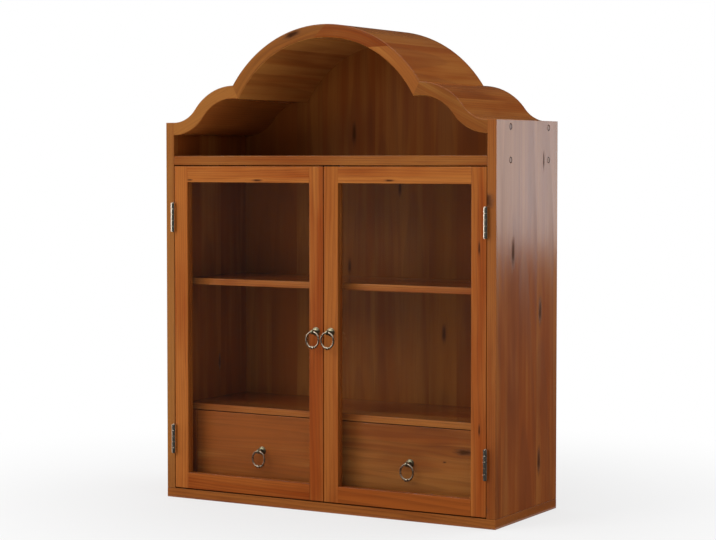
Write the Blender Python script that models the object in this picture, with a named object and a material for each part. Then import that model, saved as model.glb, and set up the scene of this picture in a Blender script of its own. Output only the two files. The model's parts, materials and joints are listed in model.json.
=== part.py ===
"""Wall display cabinet with a curved crown, two glazed doors, two inner drawers, butt hinges and ring pulls.

Metres, +Z up. The front faces -Y. The origin is under the middle of the box that holds the cabinet.
"""

import math

import bmesh
import bpy
from mathutils import Matrix, Vector

# Carcase
WIDTH = 0.800
DEPTH = 0.292
SIDE_TOP = 0.819
BOARD = 0.020
SHELF = 0.014
BACK_PANEL = 0.008
NICHE_HEIGHT = 0.045
DRAWER_BAY = 0.170
LOWER_SPACE = 0.2615
HOUSING = 0.006
FIT = 0.0003
CUT_PAST = 0.005

# Crown: a round arch between two S-shaped shoulders
ARCH_RADIUS = 0.270
ARCH_RISE = 0.201
CUSP_RISE = 0.0777
CROWN = 0.027
CONVEX_SHARE = 0.64
ARCH_STEPS = 26
OGEE_STEPS = 6

# Doors, set into the front
DOOR = 0.020
STILE = 0.034
RAIL = 0.0345
SIDE_GAP = 0.0015
MEETING_GAP = 0.002
END_GAP = 0.0025
REBATE = 0.008
LIP = 0.009
GLASS = 0.003
GLASS_ROOM = 0.001

# Butt hinges
HINGE = 0.062
KNUCKLES = 5
KNUCKLE_GAP = 0.0005
BARREL_RADIUS = 0.004
PIN_RADIUS = 0.002
PIN_ROOM = 0.0002
PIN_HEAD_RADIUS = 0.0031
PIN_HEAD = 0.0014
LEAF = 0.0012
LEAF_WIDTH = 0.015
UPPER_HINGE_INSET = 0.111
LOWER_HINGE_INSET = 0.107
HINGE_STEPS = 14

# Ring pulls
PULL_RAISE = 0.006
ROSE_RADIUS = 0.009
ROSE_HEIGHT = 0.005
ROSE_RIM = 0.0015
NECK_RADIUS = 0.0026
EYE_OUT = 0.0145
EYE_RADIUS = 0.0055
EYE_WIDTH = 0.006
RING_HALF_WIDTH = 0.015
RING_HALF_HEIGHT = 0.0165
RING_WIRE = 0.002
RING_ROOM = 0.0003
BEAD_RADIUS = 0.0035
BEAD_LENGTH = 0.009
PULL_STEPS = 16
ROSE_STEPS = 4
RING_STEPS = 24
WIRE_STEPS = 8
BEAD_STEPS = 12

# Drawers, behind the doors
DRAWER_FRONT = 0.015
DRAWER_WALL = 0.010
DRAWER_BOTTOM = 0.005
DRAWER_GAP = 0.0015
DRAWER_SIDE_DROP = 0.030
DRAWER_REAR_ROOM = 0.006
SLIDE_GAP = 0.001
DIVIDER = 0.020
PULL_ROOM = 0.006
OPEN_DOOR_ROOM = 0.0024

# Catch and hangers
CATCH_WIDTH = 0.040
CATCH_DEPTH = 0.014
CATCH_HEIGHT = 0.012
STRIKE = 0.0012
STRIKE_WIDTH = 0.015
STRIKE_HEIGHT = 0.009
HANGER = 0.002
HANGER_WIDTH = 0.012
HANGER_LENGTH = 0.040
HANGER_DROP = 0.060
KEYHOLE_RADIUS = 0.004
KEYHOLE_SLOT = 0.004
KEYHOLE_RISE = 0.010
KEYHOLE_RUN = 0.016
SCREW_ROOM = 0.008
SCREW_LEDGE = 0.0015

# Places that follow from the sizes
PULL_REACH = EYE_OUT + EYE_RADIUS + FIT
FRONT = (PULL_REACH - DEPTH) / 2
REAR = FRONT + DEPTH
PANEL_FRONT = REAR - BACK_PANEL
INSIDE = WIDTH / 2 - BOARD
TOP_SHELF_TOP = SIDE_TOP - CROWN - NICHE_HEIGHT
LOWER_SHELF_TOP = BOARD + DRAWER_BAY + SHELF
MIDDLE_SHELF_TOP = LOWER_SHELF_TOP + LOWER_SPACE + SHELF
SETBACK = FRONT + DOOR + PULL_REACH + PULL_ROOM
DOOR_LOW = BOARD + END_GAP
DOOR_HIGH = TOP_SHELF_TOP - BOARD - END_GAP
DOOR_MIDDLE = (DOOR_LOW + DOOR_HIGH) / 2
DOOR_OUTER = INSIDE - SIDE_GAP
DOOR_INNER = MEETING_GAP / 2
HINGE_STANDOFF = BARREL_RADIUS + FIT
HINGE_X = INSIDE - SIDE_GAP / 2
HINGE_Y = FRONT - HINGE_STANDOFF
DRAWER_INNER = DIVIDER / 2 + SLIDE_GAP
DRAWER_OUTER = HINGE_X - DOOR - HINGE_STANDOFF - OPEN_DOOR_ROOM
DRAWER_LOW = BOARD + DRAWER_GAP
DRAWER_HIGH = LOWER_SHELF_TOP - SHELF - DRAWER_GAP
DRAWER_MIDDLE = (DRAWER_LOW + DRAWER_HIGH) / 2
DRAWER_REAR = PANEL_FRONT - DRAWER_REAR_ROOM
RING_SAG = RING_HALF_HEIGHT * (EYE_WIDTH / 2 / RING_HALF_WIDTH) ** 2 / 2
EYE_HOLE = RING_WIRE + RING_SAG + RING_ROOM

# Colour, roughness and metallic value of each kind of surface
OUTER_WOOD = ((0.37, 0.11, 0.025), 0.35, 0.0)
INNER_WOOD = ((0.20, 0.06, 0.016), 0.45, 0.0)
PALE_WOOD = ((0.45, 0.20, 0.07), 0.6, 0.0)
PANE = ((0.95, 0.97, 0.96), 0.03, 0.0)
AGED_BRASS = ((0.45, 0.38, 0.28), 0.35, 1.0)
PEWTER = ((0.36, 0.35, 0.31), 0.35, 1.0)
DARK_STEEL = ((0.12, 0.12, 0.12), 0.4, 1.0)

HANDS = (("left", -1), ("right", 1))


def material_for(name, surface):
    """A Principled material for one piece."""
    colour, roughness, metallic = surface
    material = bpy.data.materials.new(name)
    material.use_nodes = True
    shader = material.node_tree.nodes["Principled BSDF"]
    shader.inputs["Base Color"].default_value = (*colour, 1.0)
    shader.inputs["Roughness"].default_value = roughness
    shader.inputs["Metallic"].default_value = metallic
    if surface is PANE:
        shader.inputs["Transmission Weight"].default_value = 1.0
    return material


def pivot(name, place, carrier=None):
    """An empty on a joint's axis, which carries the pieces that move about it."""
    empty = bpy.data.objects.new(name, None)
    bpy.context.collection.objects.link(empty)
    empty.parent = carrier
    empty.location = Vector(place) - (world_place(carrier) if carrier else Vector())
    return empty


def world_place(empty):
    """Where an unturned pivot, or one carried by another, lies in the cabinet's frame."""
    place = Vector(empty.location)
    if empty.parent:
        place += world_place(empty.parent)
    return place


def object_of(name, shape, place=(0, 0, 0), carrier=None):
    """A shape as a named object, whose own origin lies at the place."""
    bmesh.ops.recalc_face_normals(shape, faces=shape.faces)
    mesh = bpy.data.meshes.new(name)
    shape.to_mesh(mesh)
    shape.free()
    piece = bpy.data.objects.new(name, mesh)
    bpy.context.collection.objects.link(piece)
    piece.parent = carrier
    piece.location = Vector(place) - (world_place(carrier) if carrier else Vector())
    return piece


def finished(piece, surface, smooth=False):
    """Give a piece its material and, on a round one, smooth shading between its sharp edges."""
    piece.data.materials.clear()
    piece.data.materials.append(material_for(piece.name, surface))
    if smooth:
        piece.data.shade_smooth()
        piece.data.set_sharp_from_angle(angle=math.radians(35))
    return piece


def combine(piece, tool, operation):
    """Cut a tool out of a piece, or join it on, and remove the tool."""
    modifier = piece.modifiers.new("combine", "BOOLEAN")
    modifier.object = tool
    modifier.operation = operation
    modifier.solver = "EXACT"
    bpy.context.view_layer.update()
    with bpy.context.temp_override(object=piece, active_object=piece, selected_objects=[piece]):
        bpy.ops.object.modifier_apply(modifier=modifier.name)
    bpy.data.objects.remove(tool)


def add_box(shape, corner, opposite):
    """Add a box between two opposite corners, given in any order."""
    size = [abs(b - a) for a, b in zip(corner, opposite)]
    middle = [(a + b) / 2 for a, b in zip(corner, opposite)]
    place = Matrix.Translation(middle) @ Matrix.Diagonal((*size, 1))
    bmesh.ops.create_cube(shape, size=1, matrix=place)


def board(name, corner, opposite, surface, carrier=None):
    """A square-edged board between two opposite corners."""
    middle = [(a + b) / 2 for a, b in zip(corner, opposite)]
    shape = bmesh.new()
    add_box(shape, corner, opposite)
    bmesh.ops.translate(shape, verts=shape.verts, vec=-Vector(middle))
    return finished(object_of(name, shape, middle, carrier), surface)


def cut_boxes(piece, boxes):
    """Cut several separate boxes out of a piece."""
    shape = bmesh.new()
    for corner, opposite in boxes:
        add_box(shape, corner, opposite)
    combine(piece, object_of("cutter", shape), "DIFFERENCE")


def prism(outline, start, end, along):
    """A flat outline pushed along X, Y or Z. Its points are in the other two axes, in that order."""
    place = {"X": (2, 0, 1), "Y": (0, 2, 1), "Z": (0, 1, 2)}[along]
    shape = bmesh.new()
    rows = []
    for level in (start, end):
        points = [(*point, level) for point in outline]
        rows.append([shape.verts.new([point[i] for i in place]) for point in points])
    shape.faces.new(rows[0])
    shape.faces.new(rows[1])
    for i in range(len(outline)):
        shape.faces.new((rows[0][i - 1], rows[0][i], rows[1][i], rows[1][i - 1]))
    return shape


def turned(profile, steps):
    """A solid of revolution about Z from (radius, height) points that start and end on the axis."""
    shape = bmesh.new()
    points = [shape.verts.new((radius, 0, height)) for radius, height in profile]
    edges = [shape.edges.new(pair) for pair in zip(points, points[1:])]
    bmesh.ops.spin(
        shape, geom=points + edges, cent=(0, 0, 0), axis=(0, 0, 1), angle=2 * math.pi, steps=steps
    )
    bmesh.ops.remove_doubles(shape, verts=shape.verts, dist=1e-6)
    return shape


def add_tube(shape, outer, inner, start, end, steps):
    """Add a tube about Z."""
    loops = []
    for radius, level in ((outer, start), (outer, end), (inner, end), (inner, start)):
        angles = [2 * math.pi * i / steps for i in range(steps)]
        loops.append([shape.verts.new((radius * math.cos(a), radius * math.sin(a), level)) for a in angles])
    for i in range(4):
        for j in range(steps):
            shape.faces.new((loops[i - 1][j - 1], loops[i - 1][j], loops[i][j], loops[i][j - 1]))


def arc(centre, radius, start, end, steps):
    """Points of an arc, both ends included."""
    angles = [start + (end - start) * i / steps for i in range(steps + 1)]
    return [(centre[0] + radius * math.cos(a), centre[1] + radius * math.sin(a)) for a in angles]


# Crown lines. The arch and the shoulders meet in a cusp. A shoulder is a convex arc, level at the cusp,
# that turns into a cove, level where it meets the side. An inset line runs inside the outer one.
ARCH_CENTRE = (0.0, SIDE_TOP + ARCH_RISE - ARCH_RADIUS)
CUSP_HEIGHT = SIDE_TOP + CUSP_RISE
CUSP_X = math.sqrt(ARCH_RADIUS**2 - (CUSP_HEIGHT - ARCH_CENTRE[1]) ** 2)
SHOULDER_RUN = INSIDE - CUSP_X
SHOULDER_RADII = (SHOULDER_RUN**2 + CUSP_RISE**2) / (2 * CUSP_RISE)
CONVEX_RADIUS = CONVEX_SHARE * SHOULDER_RADII
COVE_RADIUS = SHOULDER_RADII - CONVEX_RADIUS
CONVEX_CENTRE = (CUSP_X, CUSP_HEIGHT - CONVEX_RADIUS)
COVE_CENTRE = (INSIDE, SIDE_TOP + COVE_RADIUS)
SHOULDER_TURN = math.atan2(SHOULDER_RUN, SHOULDER_RADII - CUSP_RISE)


def cusp(inset):
    """Where the inset arch and the inset convex arc cross."""
    big, small = ARCH_RADIUS - inset, CONVEX_RADIUS - inset
    across = Vector(CONVEX_CENTRE) - Vector(ARCH_CENTRE)
    along = (big**2 - small**2 + across.length_squared) / (2 * across.length)
    up = math.sqrt(big**2 - along**2)
    ahead = across.normalized()
    return Vector(ARCH_CENTRE) + ahead * along + Vector((-ahead.y, ahead.x)) * up


def arch_line(inset):
    """The arch from its right cusp over the top to its left cusp."""
    end = cusp(inset) - Vector(ARCH_CENTRE)
    start = math.atan2(end.y, end.x)
    return arc(ARCH_CENTRE, ARCH_RADIUS - inset, start, math.pi - start, ARCH_STEPS)


def shoulder_line(inset):
    """The right shoulder from its cusp down to the side."""
    top = cusp(inset) - Vector(CONVEX_CENTRE)
    start = math.atan2(top.y, top.x)
    change = math.pi / 2 - SHOULDER_TURN
    convex = arc(CONVEX_CENTRE, CONVEX_RADIUS - inset, start, change, OGEE_STEPS)
    cove = arc(COVE_CENTRE, COVE_RADIUS + inset, change + math.pi, 1.5 * math.pi, OGEE_STEPS)
    end = (INSIDE - FIT, cove[-1][1])
    return convex + cove[1:-1] + [end]


def mirrored(points, hand):
    """Points with X turned over on the left hand."""
    return [(hand * x, z) for x, z in points]


def make_crown():
    outline = arch_line(0) + arch_line(CROWN)[::-1]
    finished(object_of("crown_arch", prism(outline, FRONT, REAR, "Y")), OUTER_WOOD, smooth=True)
    for side, hand in HANDS:
        outer = shoulder_line(0)
        inner = shoulder_line(CROWN)
        outer[0] = (outer[0][0] + FIT, outer[0][1])
        inner[0] = (inner[0][0] + FIT, inner[0][1])
        shape = prism(mirrored(outer + inner[::-1], hand), FRONT, REAR, "Y")
        finished(object_of(f"{side}_crown_shoulder", shape), OUTER_WOOD, smooth=True)


def make_back_panel():
    inset = CROWN + FIT
    right = shoulder_line(inset)[::-1]
    foot = (INSIDE - FIT, BOARD + FIT)
    half = [foot] + right
    outline = half + arch_line(inset)[1:-1] + mirrored(half[::-1], -1)
    shape = prism(outline, PANEL_FRONT, REAR, "Y")
    finished(object_of("back_panel", shape), INNER_WOOD)


def hinge_levels():
    return (("upper", DOOR_HIGH - UPPER_HINGE_INSET), ("lower", DOOR_LOW + LOWER_HINGE_INSET))


def leaf_pocket(hand, level, towards):
    """The pocket for one hinge leaf: towards is 1 into the side board and -1 into the door."""
    face = HINGE_X + towards * SIDE_GAP / 2
    low = (hand * HINGE_X, FRONT - CUT_PAST, level - HINGE / 2 - FIT)
    high = (
        hand * (face + towards * (LEAF + FIT)),
        HINGE_Y + HINGE_STANDOFF + LEAF_WIDTH + FIT,
        level + HINGE / 2 + FIT,
    )
    return low, high


def make_carcase():
    board("bottom_board", (-WIDTH / 2, FRONT, 0), (WIDTH / 2, REAR, BOARD), OUTER_WOOD)
    for side, hand in HANDS:
        low = (hand * INSIDE, FRONT, BOARD + FIT)
        high = (hand * WIDTH / 2, REAR, SIDE_TOP)
        piece = board(f"{side}_side", low, high, OUTER_WOOD)
        pockets = [leaf_pocket(hand, level, 1) for _, level in hinge_levels()]
        for top in (MIDDLE_SHELF_TOP, LOWER_SHELF_TOP):
            start = (hand * (INSIDE - HOUSING), SETBACK - FIT, top - SHELF - FIT)
            end = (hand * (INSIDE + HOUSING + FIT), PANEL_FRONT, top + FIT)
            pockets.append((start, end))
        pockets.append(hanger_box(hand, HANGER + FIT, FIT))
        cut_boxes(piece, pockets)
        cut_boxes(piece, [hanger_box(hand, HANGER + SCREW_ROOM, -SCREW_LEDGE)])
    shelf_rear = PANEL_FRONT - FIT
    low = (FIT - INSIDE, FRONT, TOP_SHELF_TOP - BOARD)
    board("top_shelf", low, (INSIDE - FIT, shelf_rear, TOP_SHELF_TOP), OUTER_WOOD)
    for name, top in (("middle_shelf", MIDDLE_SHELF_TOP), ("lower_shelf", LOWER_SHELF_TOP)):
        reach = INSIDE + HOUSING
        board(name, (-reach, SETBACK, top - SHELF), (reach, shelf_rear, top), INNER_WOOD)
    low = BOARD + FIT
    high = LOWER_SHELF_TOP - SHELF - FIT
    board("drawer_divider", (-DIVIDER / 2, SETBACK, low), (DIVIDER / 2, shelf_rear, high), INNER_WOOD)
    for side, hand in HANDS:
        corner = (hand * (DRAWER_OUTER + SLIDE_GAP), SETBACK, low)
        opposite = (hand * (INSIDE - FIT), shelf_rear, high)
        board(f"{side}_drawer_guide", corner, opposite, INNER_WOOD)


def hanger_box(hand, depth, room):
    """A box let into a side board's rear edge, wider and longer than the hanger plate by the room."""
    middle = hand * (INSIDE + BOARD / 2)
    half_width = HANGER_WIDTH / 2 + room
    high = SIDE_TOP - HANGER_DROP + room
    low = SIDE_TOP - HANGER_DROP - HANGER_LENGTH - room
    return (middle - half_width, REAR - depth, low), (middle + half_width, REAR + CUT_PAST, high)


def make_hangers():
    """Keyhole plates: a screw's head goes in at the round hole and its shank slides up the slot."""
    for side, hand in HANDS:
        low, high = hanger_box(hand, HANGER, 0)
        plate = board(f"{side}_hanger", low, (high[0], REAR, high[2]), DARK_STEEL)
        middle = hand * (INSIDE + BOARD / 2)
        hole = low[2] + KEYHOLE_RISE
        half_slot = KEYHOLE_SLOT / 2
        meet = math.acos(half_slot / KEYHOLE_RADIUS)
        outline = arc((middle, hole), KEYHOLE_RADIUS, math.pi - meet, 2 * math.pi + meet, 10)
        outline += arc((middle, hole + KEYHOLE_RUN), half_slot, 0, math.pi, 6)
        cutter = object_of("cutter", prism(outline, REAR - HANGER - CUT_PAST, REAR + CUT_PAST, "Y"))
        combine(plate, cutter, "DIFFERENCE")


def make_catch():
    """A magnet block under the top shelf, which both doors' strike plates meet."""
    high = TOP_SHELF_TOP - BOARD - FIT
    face = FRONT + DOOR + STRIKE + 2 * FIT
    low = (-CATCH_WIDTH / 2, face, high - CATCH_HEIGHT)
    board("magnet_catch", low, (CATCH_WIDTH / 2, face + CATCH_DEPTH, high), DARK_STEEL)


def stile_outline(hand, plain_edge, glass_edge):
    """A stile in plan, with the rebate for the glass in its rear corner."""
    inward = math.copysign(REBATE, plain_edge - glass_edge)
    points = [
        (plain_edge, FRONT),
        (glass_edge, FRONT),
        (glass_edge, FRONT + LIP),
        (glass_edge + inward, FRONT + LIP),
        (glass_edge + inward, FRONT + DOOR),
        (plain_edge, FRONT + DOOR),
    ]
    return [(hand * x, y) for x, y in points]


def make_rail(name, hand, plain_edge, glass_edge, door):
    """A rail with the rebate along it. Its rear half runs on into the stiles' rebates."""
    upward = math.copysign(REBATE, plain_edge - glass_edge)
    outline = [
        (FRONT, plain_edge),
        (FRONT, glass_edge),
        (FRONT + LIP, glass_edge),
        (FRONT + LIP, glass_edge + upward),
        (FRONT + DOOR, glass_edge + upward),
        (FRONT + DOOR, plain_edge),
    ]
    inner = DOOR_INNER + STILE - REBATE + FIT
    outer = DOOR_OUTER - STILE + REBATE - FIT
    piece = object_of(name, prism(outline, hand * inner, hand * outer, "X"))
    step = FRONT + LIP + FIT
    low, high = sorted((plain_edge, glass_edge))
    notches = []
    for end, inward in ((inner, REBATE), (outer, -REBATE)):
        corner = (hand * (end - inward), FRONT - CUT_PAST, low - CUT_PAST)
        notches.append((corner, (hand * (end + inward), step, high + CUT_PAST)))
    cut_boxes(piece, notches)
    carry(piece, door)
    return finished(piece, OUTER_WOOD)


def carry(piece, carrier):
    """Hang a piece that was made in the cabinet's frame on a pivot, with its origin on the pivot."""
    place = world_place(carrier)
    piece.data.transform(Matrix.Translation(-place))
    piece.parent = carrier
    piece.location = (0, 0, 0)


def make_door(side, hand, door):
    glass_outer = DOOR_OUTER - STILE
    glass_inner = DOOR_INNER + STILE
    glass_low = DOOR_LOW + RAIL
    glass_high = DOOR_HIGH - RAIL
    outline = stile_outline(hand, DOOR_OUTER, glass_outer)
    stile = object_of(f"{side}_door_hinge_stile", prism(outline, DOOR_LOW, DOOR_HIGH, "Z"))
    cut_boxes(stile, [leaf_pocket(hand, level, -1) for _, level in hinge_levels()])
    carry(stile, door)
    finished(stile, OUTER_WOOD)
    outline = stile_outline(hand, DOOR_INNER, glass_inner)
    stile = object_of(f"{side}_door_meeting_stile", prism(outline, DOOR_LOW, DOOR_HIGH, "Z"))
    carry(stile, door)
    finished(stile, OUTER_WOOD)
    make_rail(f"{side}_door_top_rail", hand, DOOR_HIGH, glass_high, door)
    make_rail(f"{side}_door_bottom_rail", hand, DOOR_LOW, glass_low, door)
    lap = REBATE - GLASS_ROOM
    front = FRONT + LIP + FIT
    low = (hand * (glass_inner - lap), front, glass_low - lap)
    high = (hand * (glass_outer + lap), front + GLASS, glass_high + lap)
    board(f"{side}_door_glass", low, high, PANE, door)
    lap = REBATE - FIT
    front += GLASS + FIT
    low = (hand * (glass_inner - lap), front, glass_low - lap)
    high = (hand * (glass_outer + lap), FRONT + DOOR, glass_high + lap)
    bead = board(f"{side}_door_glazing_bead", low, high, OUTER_WOOD, door)
    low = (hand * glass_inner, FRONT, glass_low)
    high = (hand * glass_outer, FRONT + DOOR + CUT_PAST, glass_high)
    cut_boxes(bead, [(low, high)])
    face = FRONT + DOOR + FIT
    edge = DOOR_INNER + (CATCH_WIDTH / 2 - DOOR_INNER - STRIKE_WIDTH) / 2
    high = DOOR_HIGH - END_GAP
    low = (hand * edge, face, high - STRIKE_HEIGHT)
    high = (hand * (edge + STRIKE_WIDTH), face + STRIKE, high)
    board(f"{side}_door_strike", low, high, DARK_STEEL, door)


def make_leaf(name, hand, level, towards, own, carrier):
    """A comb-shaped leaf whose fingers end in its own knuckles of the barrel."""
    pitch = (HINGE + KNUCKLE_GAP) / KNUCKLES
    length = pitch - KNUCKLE_GAP
    bottom = level - HINGE / 2
    near = HINGE_Y + HINGE_STANDOFF + FIT
    far = HINGE_Y + HINGE_STANDOFF + LEAF_WIDTH
    tip = HINGE_Y + (PIN_RADIUS + PIN_ROOM + BARREL_RADIUS) / 2
    comb = [(near, bottom), (far, bottom), (far, bottom + HINGE), (near, bottom + HINGE)]
    for i in reversed(own):
        low = bottom + i * pitch + KNUCKLE_GAP
        high = bottom + i * pitch + length - KNUCKLE_GAP
        comb += [(near, high), (tip, high), (tip, low), (near, low)]
    inner = HINGE_X + towards * SIDE_GAP / 2
    shape = prism(comb, hand * inner, hand * (inner + towards * LEAF), "X")
    piece = object_of(name, shape)
    tubes = bmesh.new()
    for i in own:
        start = bottom + i * pitch
        add_tube(tubes, BARREL_RADIUS, PIN_RADIUS + PIN_ROOM, start, start + length, HINGE_STEPS)
    combine(piece, object_of("knuckles", tubes, (hand * HINGE_X, HINGE_Y, 0)), "UNION")
    if carrier:
        carry(piece, carrier)
    return finished(piece, AGED_BRASS, smooth=True)


def make_hinges(side, hand, door):
    for height, level in hinge_levels():
        name = f"{side}_{height}_hinge"
        make_leaf(f"{name}_side_leaf", hand, level, 1, range(0, KNUCKLES, 2), None)
        make_leaf(f"{name}_door_leaf", hand, level, -1, range(1, KNUCKLES, 2), door)
        end = HINGE / 2 + FIT
        head = end + PIN_HEAD
        ease = PIN_HEAD / 2
        half = [
            (PIN_RADIUS, end),
            (PIN_HEAD_RADIUS, end),
            (PIN_HEAD_RADIUS, head - ease),
            (PIN_HEAD_RADIUS - ease, head),
            (0, head),
        ]
        profile = [(radius, -z) for radius, z in half[::-1]] + half
        pin = object_of(f"{name}_pin", turned(profile, HINGE_STEPS), (hand * HINGE_X, HINGE_Y, level))
        finished(pin, AGED_BRASS, smooth=True)


def make_pull_base(name, x, face, z, carrier):
    """A domed rose with a neck and an eye, through which the ring hangs."""
    neck_end = EYE_OUT - (EYE_RADIUS + EYE_HOLE) / 2
    profile = [(0, FIT), (ROSE_RADIUS, FIT)]
    for i in range(ROSE_STEPS + 1):
        lean = math.acos(NECK_RADIUS / ROSE_RADIUS) * i / ROSE_STEPS
        dome = (ROSE_HEIGHT - ROSE_RIM) * math.sin(lean)
        profile.append((ROSE_RADIUS * math.cos(lean), ROSE_RIM + dome))
    profile += [(NECK_RADIUS, neck_end), (0, neck_end)]
    shape = turned(profile, PULL_STEPS)
    bmesh.ops.rotate(shape, verts=shape.verts, matrix=Matrix.Rotation(math.pi / 2, 3, "X"))
    base = object_of(name, shape, (x, face, z), carrier)
    eye = bmesh.new()
    add_tube(eye, EYE_RADIUS, EYE_HOLE, -EYE_WIDTH / 2, EYE_WIDTH / 2, PULL_STEPS)
    bmesh.ops.rotate(eye, verts=eye.verts, matrix=Matrix.Rotation(math.pi / 2, 3, "Y"))
    combine(base, object_of("eye", eye, (x, face - EYE_OUT - FIT, z)), "UNION")
    return finished(base, PEWTER, smooth=True)


def make_ring(name, swing):
    """An oval ring of round wire that hangs from the eye, with a bead at its lowest point."""
    shape = bmesh.new()
    rows = []
    for i in range(RING_STEPS):
        turn = 2 * math.pi * i / RING_STEPS
        middle = Vector((RING_HALF_WIDTH * math.sin(turn), 0, RING_HALF_HEIGHT * (math.cos(turn) - 1)))
        outward = Vector((math.sin(turn) / RING_HALF_WIDTH, 0, math.cos(turn) / RING_HALF_HEIGHT))
        outward.normalize()
        row = []
        for j in range(WIRE_STEPS):
            around = 2 * math.pi * j / WIRE_STEPS
            offset = outward * math.cos(around) + Vector((0, math.sin(around), 0))
            row.append(shape.verts.new(middle + offset * RING_WIRE))
        rows.append(row)
    for i in range(RING_STEPS):
        for j in range(WIRE_STEPS):
            shape.faces.new((rows[i - 1][j - 1], rows[i - 1][j], rows[i][j], rows[i][j - 1]))
    ring = object_of(name, shape, world_place(swing), swing)
    half = BEAD_LENGTH / 2
    waist = (RING_WIRE + BEAD_RADIUS) / 2
    top = [(BEAD_RADIUS, half / 2), (waist, half), (0, half)]
    profile = [(radius, -z) for radius, z in top[::-1]] + top
    bead = turned(profile, BEAD_STEPS)
    bmesh.ops.rotate(bead, verts=bead.verts, matrix=Matrix.Rotation(math.pi / 2, 3, "Y"))
    low = world_place(swing) - Vector((0, 0, 2 * RING_HALF_HEIGHT))
    combine(ring, object_of("bead", bead, low), "UNION")
    return finished(ring, PEWTER, smooth=True)


def make_pull(name, x, face, z, carrier):
    make_pull_base(f"{name}_pull_base", x, face, z, carrier)
    swing = pivot(f"{name}_ring_swing", (x, face - EYE_OUT - FIT, z), carrier)
    make_ring(f"{name}_pull_ring", swing)


def make_drawer(side, hand, drawer):
    name = f"{side}_drawer"
    inner = hand * DRAWER_INNER
    outer = hand * DRAWER_OUTER
    low = (inner, SETBACK, DRAWER_LOW)
    high = (outer, SETBACK + DRAWER_FRONT, DRAWER_HIGH)
    board(f"{name}_front", low, high, INNER_WOOD, drawer)
    start = SETBACK + DRAWER_FRONT + FIT
    floor = BOARD + FIT
    low = (inner, start, floor)
    board(f"{name}_bottom", low, (outer, DRAWER_REAR, floor + DRAWER_BOTTOM), PALE_WOOD, drawer)
    low = floor + DRAWER_BOTTOM + FIT
    high = DRAWER_HIGH - DRAWER_SIDE_DROP
    walls = (("inner", DRAWER_INNER, DRAWER_WALL), ("outer", DRAWER_OUTER, -DRAWER_WALL))
    for place, edge, wall in walls:
        corner = (hand * edge, start, low)
        board(f"{name}_{place}_wall", corner, (hand * (edge + wall), DRAWER_REAR, high), PALE_WOOD, drawer)
    corner = (hand * (DRAWER_INNER + DRAWER_WALL + FIT), DRAWER_REAR - DRAWER_WALL, low)
    opposite = (hand * (DRAWER_OUTER - DRAWER_WALL - FIT), DRAWER_REAR, high)
    board(f"{name}_back", corner, opposite, PALE_WOOD, drawer)


def make_cabinet():
    for item in list(bpy.data.objects):
        bpy.data.objects.remove(item)
    make_carcase()
    make_crown()
    make_back_panel()
    make_hangers()
    make_catch()
    for side, hand in HANDS:
        door = pivot(f"{side}_door_swing", (hand * HINGE_X, HINGE_Y, DOOR_MIDDLE))
        make_door(side, hand, door)
        make_hinges(side, hand, door)
        pull_x = hand * (DOOR_INNER + STILE / 2)
        make_pull(f"{side}_door", pull_x, FRONT, DOOR_MIDDLE + PULL_RAISE, door)
        middle = hand * (DRAWER_INNER + DRAWER_OUTER) / 2
        drawer = pivot(f"{side}_drawer_slide", (middle, SETBACK, DRAWER_MIDDLE))
        make_drawer(side, hand, drawer)
        make_pull(f"{side}_drawer", middle, SETBACK, DRAWER_MIDDLE + PULL_RAISE, drawer)


make_cabinet()
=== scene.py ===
import json
import math

import bpy
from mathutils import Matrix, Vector

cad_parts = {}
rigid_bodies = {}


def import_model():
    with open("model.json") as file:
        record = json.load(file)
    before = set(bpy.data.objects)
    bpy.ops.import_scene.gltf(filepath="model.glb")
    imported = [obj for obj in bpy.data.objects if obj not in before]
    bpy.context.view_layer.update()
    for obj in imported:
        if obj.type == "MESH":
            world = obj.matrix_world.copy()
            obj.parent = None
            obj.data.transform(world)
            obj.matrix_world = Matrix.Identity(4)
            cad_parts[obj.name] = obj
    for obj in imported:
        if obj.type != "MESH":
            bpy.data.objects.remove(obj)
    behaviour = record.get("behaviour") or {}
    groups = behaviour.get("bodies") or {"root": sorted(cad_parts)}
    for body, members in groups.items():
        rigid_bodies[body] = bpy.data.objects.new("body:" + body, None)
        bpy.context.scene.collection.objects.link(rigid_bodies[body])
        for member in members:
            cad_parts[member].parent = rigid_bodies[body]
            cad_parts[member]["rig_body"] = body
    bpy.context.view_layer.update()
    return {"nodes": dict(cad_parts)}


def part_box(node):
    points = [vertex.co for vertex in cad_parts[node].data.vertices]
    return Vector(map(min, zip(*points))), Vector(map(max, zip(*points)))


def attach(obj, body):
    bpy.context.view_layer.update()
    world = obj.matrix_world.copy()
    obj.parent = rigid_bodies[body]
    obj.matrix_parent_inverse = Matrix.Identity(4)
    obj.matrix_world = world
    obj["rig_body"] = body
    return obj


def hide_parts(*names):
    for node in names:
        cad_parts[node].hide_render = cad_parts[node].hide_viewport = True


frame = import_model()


# Bottom board: one planed pine board under the whole cabinet, stained reddish brown and lacquered.
# Its arrises are eased with a plane, and the two sides stand on it, screwed from below.

def settle(name, scale=(1, 1, 1)):
    """Name and scale the newest piece, and put its place, turn and scale into its mesh."""
    piece = bpy.context.object
    piece.name = name
    piece.scale = scale
    bpy.ops.object.transform_apply(location=True, rotation=True, scale=True)
    return piece


def add_block(name, low, high):
    """A block between two opposite corners."""
    low = Vector(low)
    high = Vector(high)
    bpy.ops.object.select_all(action="DESELECT")
    bpy.ops.mesh.primitive_cube_add(size=1, location=(low + high) / 2)
    return settle(name, high - low)


def take_up(piece):
    """Make one piece the only selected and active one."""
    bpy.ops.object.select_all(action="DESELECT")
    piece.select_set(True)
    bpy.context.view_layer.objects.active = piece


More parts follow.
